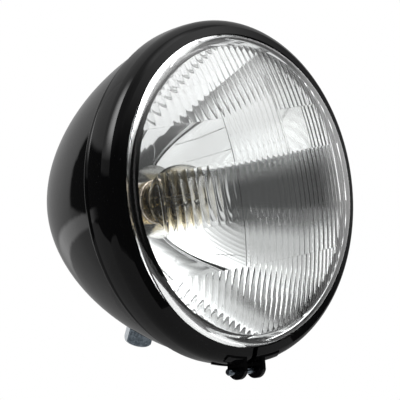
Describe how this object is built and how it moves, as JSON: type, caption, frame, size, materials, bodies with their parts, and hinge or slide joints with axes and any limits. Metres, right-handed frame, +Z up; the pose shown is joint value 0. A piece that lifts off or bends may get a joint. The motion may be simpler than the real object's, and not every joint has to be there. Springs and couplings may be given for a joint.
{
  "type": "motorcycle headlight",
  "caption": "Round headlight with a domed fluted glass lens, clamped split rim, rounded steel bucket, rear cable grommet and a threaded boss underneath.",
  "frame": {"origin": "centre of the mounting boss's lower end", "axes": "the light shines towards -Y, +Z is up and +X is the lamp's left-hand side seen from the front"},
  "size_m": [0.1872, 0.157, 0.1953],
  "materials": {
    "black_paint": "gloss",
    "zinc_steel": "satin",
    "black_rubber": "matte",
    "clear_glass": "gloss",
    "bright_reflector": "polished",
    "spring_steel": "satin",
    "brass": "satin",
    "bulb_glass": "gloss",
    "brown_insulator": "matte",
    "tungsten": "satin"
  },
  "bodies": {
    "root": {"bucket": "black_paint", "mount_boss": "zinc_steel", "cable_grommet": "black_rubber", "rim": "black_paint", "rim_ear_left": "black_paint", "rim_ear_right": "black_paint", "clamp_screw": "black_paint", "lens": "clear_glass", "lens_gasket": "black_rubber", "reflector": "bright_reflector", "insert_clips": "spring_steel", "bulb_holder": "spring_steel", "holder_spring": "spring_steel", "bulb_flange": "spring_steel", "bulb_collar": "brass", "bulb_glass": "bulb_glass", "bulb_stem": "bulb_glass", "bulb_cap": "spring_steel", "cap_insulator": "brown_insulator", "contact_blades": "brass", "main_filament": "tungsten", "dip_filament": "tungsten", "dip_shield": "spring_steel", "filament_supports": "tungsten"}
  },
  "joints": []
}
